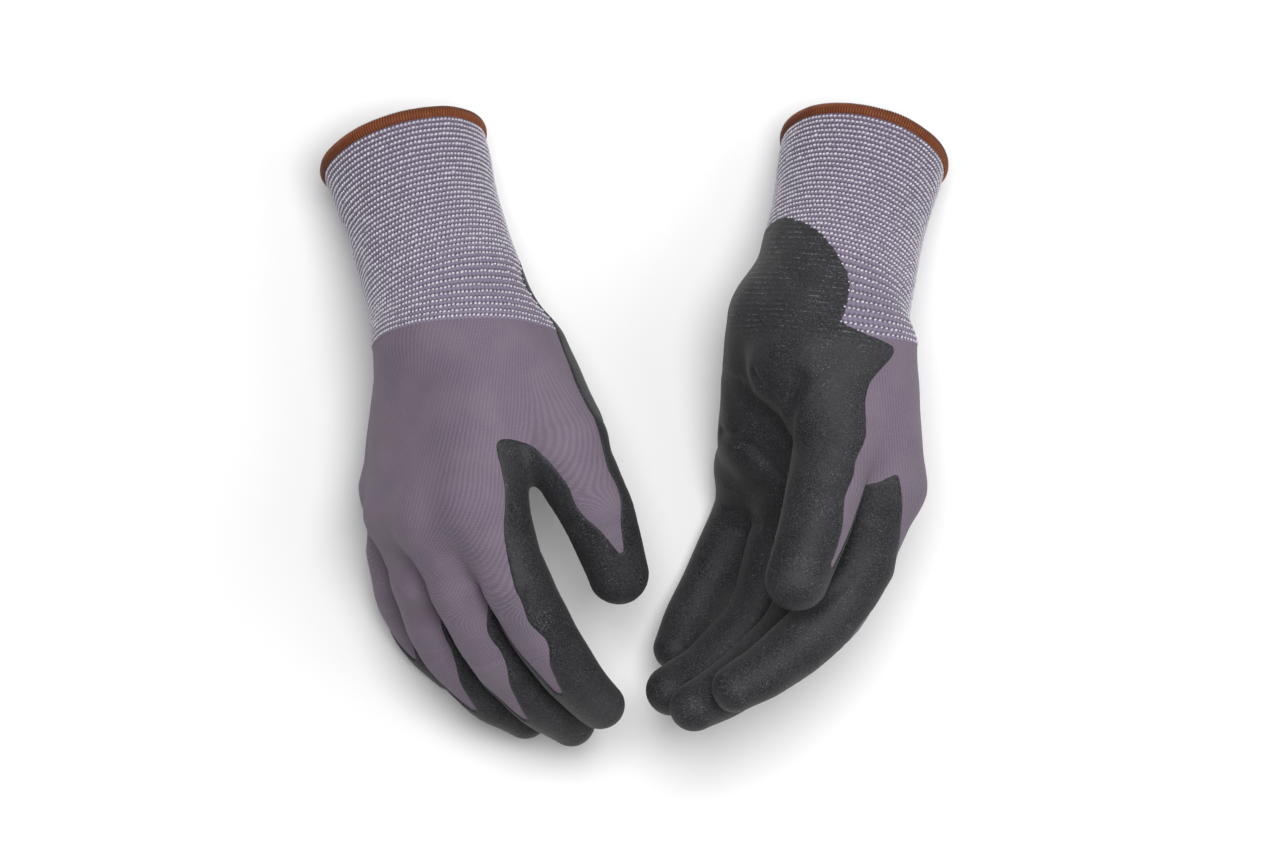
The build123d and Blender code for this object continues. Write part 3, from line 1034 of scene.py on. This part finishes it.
def make_hand(glove, materials):
    """The liner and the coating of the hand and of each digit."""
    side, skin = glove.side, glove_skin(glove)
    coated = skin.values["mask"][skin.faces].mean(axis=1) > 0
    cuff = past(skin, "cuff")
    palm = np.ones(len(skin.faces), bool)
    hand_body = f"{side}_hand"
    for name, digit in glove.digits.items():
        end = past(skin, f"{name}_end")
        base = past(skin, f"{name}_base") & ~end
        palm &= ~(base | end)
        base_body, end_body = f"{side}_{name}_base", f"{side}_{name}_end"
        length, (near, far), (before, after) = digit.lengths[0], digit.bends["root"], digit.bends["middle"]
        root_span = (digit.at(near), digit.at(far * length))
        middle_span = (digit.at(before * length), digit.at((1 + after) * length))
        for chosen, bodies, span, part in (
            (base, (hand_body, base_body), root_span, "proximal"),
            (end, (base_body, end_body), middle_span, "tip"),
        ):
            liner = liner_piece(f"{side}_{name}_{part}_knit", skin.part(chosen), materials["liner_knit"])
            coat = coat_piece(f"{side}_{name}_{part}_dip", skin.part(chosen & coated), materials["coating"])
            for piece, layer, slot in ((liner, "liner", "liner_knit"), (coat, "coat", "coating")):
                bend(piece, *bodies, *span)
                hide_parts(f"{side}_{name}_{part}_{layer}")
    liner = liner_piece(f"{side}_hand_knit", skin.part(palm & ~cuff), materials["liner_knit"])
    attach(liner, hand_body)
    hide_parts(f"{side}_back_liner", f"{side}_palm_liner")
    coat = coat_piece(f"{side}_palm_dip", skin.part(palm & coated), materials["coating"])
    bend_at_wrist(coat, glove)
    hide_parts(f"{side}_palm_coat")


class Cuff:
    """The ribbed tube from the wrist to the mouth, found by looking outwards from its centre line."""

    def __init__(self, glove):
        self.glove = glove
        self.length = glove.cuff_length

    def field(self, points):
        return self.glove.palm_field(points) + self.glove.relief(points)

    def frame(self, distance):
        """For each distance from the wrist, the centre, the way out of the section, and its two axes."""
        glove = self.glove
        share = smoothstep(distance / CUFF_BEND)[:, None]
        way = unit_rows(glove.wrist_way * (1 - share) + glove.cuff_way * share)
        side = unit_rows(glove.across - way * (way @ glove.across)[:, None])
        return glove.wrist + glove.cuff_way * distance[:, None], way, side, np.cross(way, side)

    def on_skin(self, distance, turn, inset=2.0, rounds=14):
        """Points on the skin at these distances and angles."""
        centre, _, side, up = self.frame(distance)
        out = side * np.cos(turn)[:, None] + up * np.sin(turn)[:, None]
        radius = np.full(len(distance), WAIST_RADIUS - inset)
        for _ in range(rounds):
            points = centre + out * radius[:, None]
            radius = radius - self.field(points)
        return centre + out * radius[:, None]

    def normal(self, points):
        return unit_rows(self.glove.gradient(points, self.field))


def ring_faces(rows, columns):
    """Quads of a grid that closes both ways, and the row and the column of each of their corners."""
    row, column = (grid.ravel() for grid in np.meshgrid(np.arange(rows), np.arange(columns), indexing="ij"))
    row = np.stack([row, row, row + 1, row + 1], axis=1)
    column = np.stack([column, column + 1, column + 1, column], axis=1)
    return row % rows * columns + column % columns, row, column


def make_cuff(glove, materials):
    """The ribbed knit of the cuff: an outer and an inner wall joined at both ends."""
    side, cuff = glove.side, Cuff(glove)
    rows, columns = COURSES * COURSE_ROWS + 1, WALES * WALE_COLUMNS
    distances = np.linspace(CUFF_START, cuff.length, rows)
    distance, turn = np.meshgrid(distances, np.arange(columns) * 2 * np.pi / columns, indexing="ij")
    points = cuff.on_skin(distance.ravel(), turn.ravel())
    normal = cuff.normal(points)
    course = distance.ravel() / cuff.length * COURSES
    relief = CUFF_PROUD + COURSE_RELIEF * np.cos(course * 2 * np.pi)
    relief = relief + WALE_RELIEF * np.cos(turn.ravel() * WALES)
    outer = points + normal * relief[:, None]
    inner = points - normal * LINER
    wall = np.concatenate([outer.reshape(rows, columns, 3), inner.reshape(rows, columns, 3)[::-1]])
    quads, row, column = ring_faces(2 * rows, columns)
    depth = np.minimum(row % (2 * rows), 2 * rows - 1 - row % (2 * rows))
    knit = np.stack([column / WALE_COLUMNS, depth / COURSE_ROWS, np.ones(depth.shape)], axis=2)
    wall = above_floor(wall.reshape(-1, 3))
    piece = add_mesh(f"{side}_ribbed_cuff", wall, quads[:, ::-1], materials["cuff_knit"])
    give_knit(piece.data, knit[:, ::-1].reshape(-1, 3), "CORNER")
    bend_at_wrist(piece, glove)
    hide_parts(f"{side}_cuff")


def make_stitches(glove, materials):
    """The elastic thread where it shows: one small raised stitch for each wale of each course."""
    side, cuff = glove.side, Cuff(glove)
    course, wale = np.meshgrid(np.arange(COURSES - 1), np.arange(WALES), indexing="ij")
    course, wale = course.ravel(), wale.ravel()
    random = np.random.default_rng(7 if side == "right" else 8)
    jitter = random.normal(size=(len(course), 3)) * STITCH_JITTER
    distance = (course + STITCH_PLACE) * cuff.length / COURSES + jitter[:, 0]
    turn = (wale + 0.5 * (course % 2)) * 2 * np.pi / WALES + jitter[:, 1]
    points = cuff.on_skin(distance, turn)
    shown = glove.coat_mask(points) < STITCH_COVER
    points, distance, turn, jitter = points[shown], distance[shown], turn[shown], jitter[shown]
    normal = cuff.normal(points)
    along = cuff.on_skin(distance, turn + 0.01) - points
    along = unit_rows(along - normal * (along * normal).sum(axis=1)[:, None])
    over = np.cross(normal, along)
    size = 1 + jitter[:, 2]
    turns = np.arange(STITCH_SIDES) * 2 * np.pi / STITCH_SIDES
    shape = [(r * np.cos(t), r * np.sin(t), h) for r, h in STITCH_RINGS for t in turns] + [(0, 0, 1.0)]
    shape = np.array(shape) * (STITCH_LENGTH / 2, STITCH_WIDTH / 2, STITCH_HEIGHT)
    shape[:, 0] += shape[:, 1] * STITCH_SLANT
    beads = points[:, None] + normal[:, None] * CUFF_PROUD
    for axis, way in enumerate((along, over, normal)):
        beads = beads + way[:, None] * (shape[None, :, axis] * size[:, None])[..., None]
    pairs = [(a, (a + 1) % STITCH_SIDES) for a in range(STITCH_SIDES)]
    sides = [(a, b, b + STITCH_SIDES, a + STITCH_SIDES) for a, b in pairs]
    tops = [(a + STITCH_SIDES, b + STITCH_SIDES, 2 * STITCH_SIDES) for a, b in pairs]
    base = [tuple(reversed(range(STITCH_SIDES)))]
    faces = []
    for first in range(0, len(beads) * len(shape), len(shape)):
        faces += [tuple(corner + first for corner in face) for face in sides + tops + base]
    beads = above_floor(beads.reshape(-1, 3), FLOOR / 2)
    piece = add_mesh(f"{side}_elastic_stitches", beads, faces, materials["elastic"])
    bend_at_wrist(piece, glove)
    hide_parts(f"{side}_cuff_elastic")


def make_hem(glove, materials):
    """The bound edge of the mouth: a roll wound with thread, each turn a small ridge."""
    side, cuff = glove.side, Cuff(glove)
    rows, columns = HEM_TURNS * HEM_ROWS, HEM_COLUMNS
    turn = np.arange(rows) * 2 * np.pi / rows
    middle = cuff.on_skin(np.full(rows, cuff.length), turn)
    _, way, across, up = cuff.frame(np.full(rows, cuff.length))
    out = across * np.cos(turn)[:, None] + up * np.sin(turn)[:, None]
    middle = middle - out * LINER / 2
    around = np.arange(columns) * 2 * np.pi / columns
    thread = turn[:, None] * HEM_TURNS + around[None]
    wavelength, height = HEM_UNEVEN
    uneven = 0.5 + 0.5 * ripple(middle, wavelength, 21)
    radius = 1 + (HEM_THREAD * np.cos(thread) + height * uneven[:, None]) / HEM_WIDTH
    roll = middle[:, None] + out[:, None] * (radius * np.cos(around) * HEM_DEPTH)[..., None]
    roll = roll + way[:, None] * (radius * np.sin(around) * HEM_WIDTH)[..., None]
    roll = above_floor(roll.reshape(-1, 3), FLOOR / 2)
    quads, row, column = ring_faces(rows, columns)
    piece = add_mesh(f"{side}_bound_hem", roll, quads, materials["hem_binding"])
    knit = np.stack([row / HEM_ROWS, column / columns, np.zeros(row.shape)], axis=2)
    give_knit(piece.data, knit.reshape(-1, 3), "CORNER")
    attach(piece, f"{side}_wrist_cuff")
    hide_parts(f"{side}_hem")


# ---- Studio ----
def make_floor():
    """A pale floor that runs out of sight."""
    made = Material("studio_floor", 0.9, specular=0.1)
    color = made.mix(made.ramp(made.noise(240.0), 0.3, 0.7), FLOOR_DARK, FLOOR_LIGHT)
    size = FLOOR_SIZE / MM / 2
    corners = np.array([(-size, -size, 0), (size, -size, 0), (size, size, 0), (-size, size, 0)], float)
    add_mesh("studio_floor", corners, [(0, 1, 2, 3)], made.finish(color))


def add_light(name, place, size, power):
    light = bpy.data.lights.new(name, "AREA")
    light.shape = "DISK"
    light.size = size
    light.energy = power
    made = bpy.data.objects.new(name, light)
    made.location = place
    made.rotation_euler = (-Vector(place)).to_track_quat("-Z", "Y").to_euler()
    bpy.context.scene.collection.objects.link(made)


def make_studio():
    make_floor()
    world = bpy.data.worlds.new("studio")
    world.use_nodes = True
    world.node_tree.nodes["Background"].inputs["Color"].default_value = (1, 1, 1, 1)
    world.node_tree.nodes["Background"].inputs["Strength"].default_value = WORLD_LIGHT
    bpy.context.scene.world = world
    for light in LIGHTS:
        add_light(*light)
    camera = bpy.data.cameras.new("camera")
    camera.sensor_width = 36
    camera.lens = CAMERA_LENS
    made = bpy.data.objects.new("camera", camera)
    made.location = (CAMERA_MIDDLE[0], CAMERA_MIDDLE[1], CAMERA_HEIGHT)
    bpy.context.scene.collection.objects.link(made)
    bpy.context.scene.camera = made
    bpy.context.scene.view_settings.view_transform = "Standard"


materials = {
    "liner_knit": liner_material(),
    "coating": coat_material(),
    "cuff_knit": cuff_material(),
    "elastic": elastic_material(),
    "hem_binding": hem_material(),
}
for side in POSES:
    glove = Glove(side)
    make_hand(glove, materials)
    make_cuff(glove, materials)
    make_stitches(glove, materials)
    make_hem(glove, materials)
make_studio()
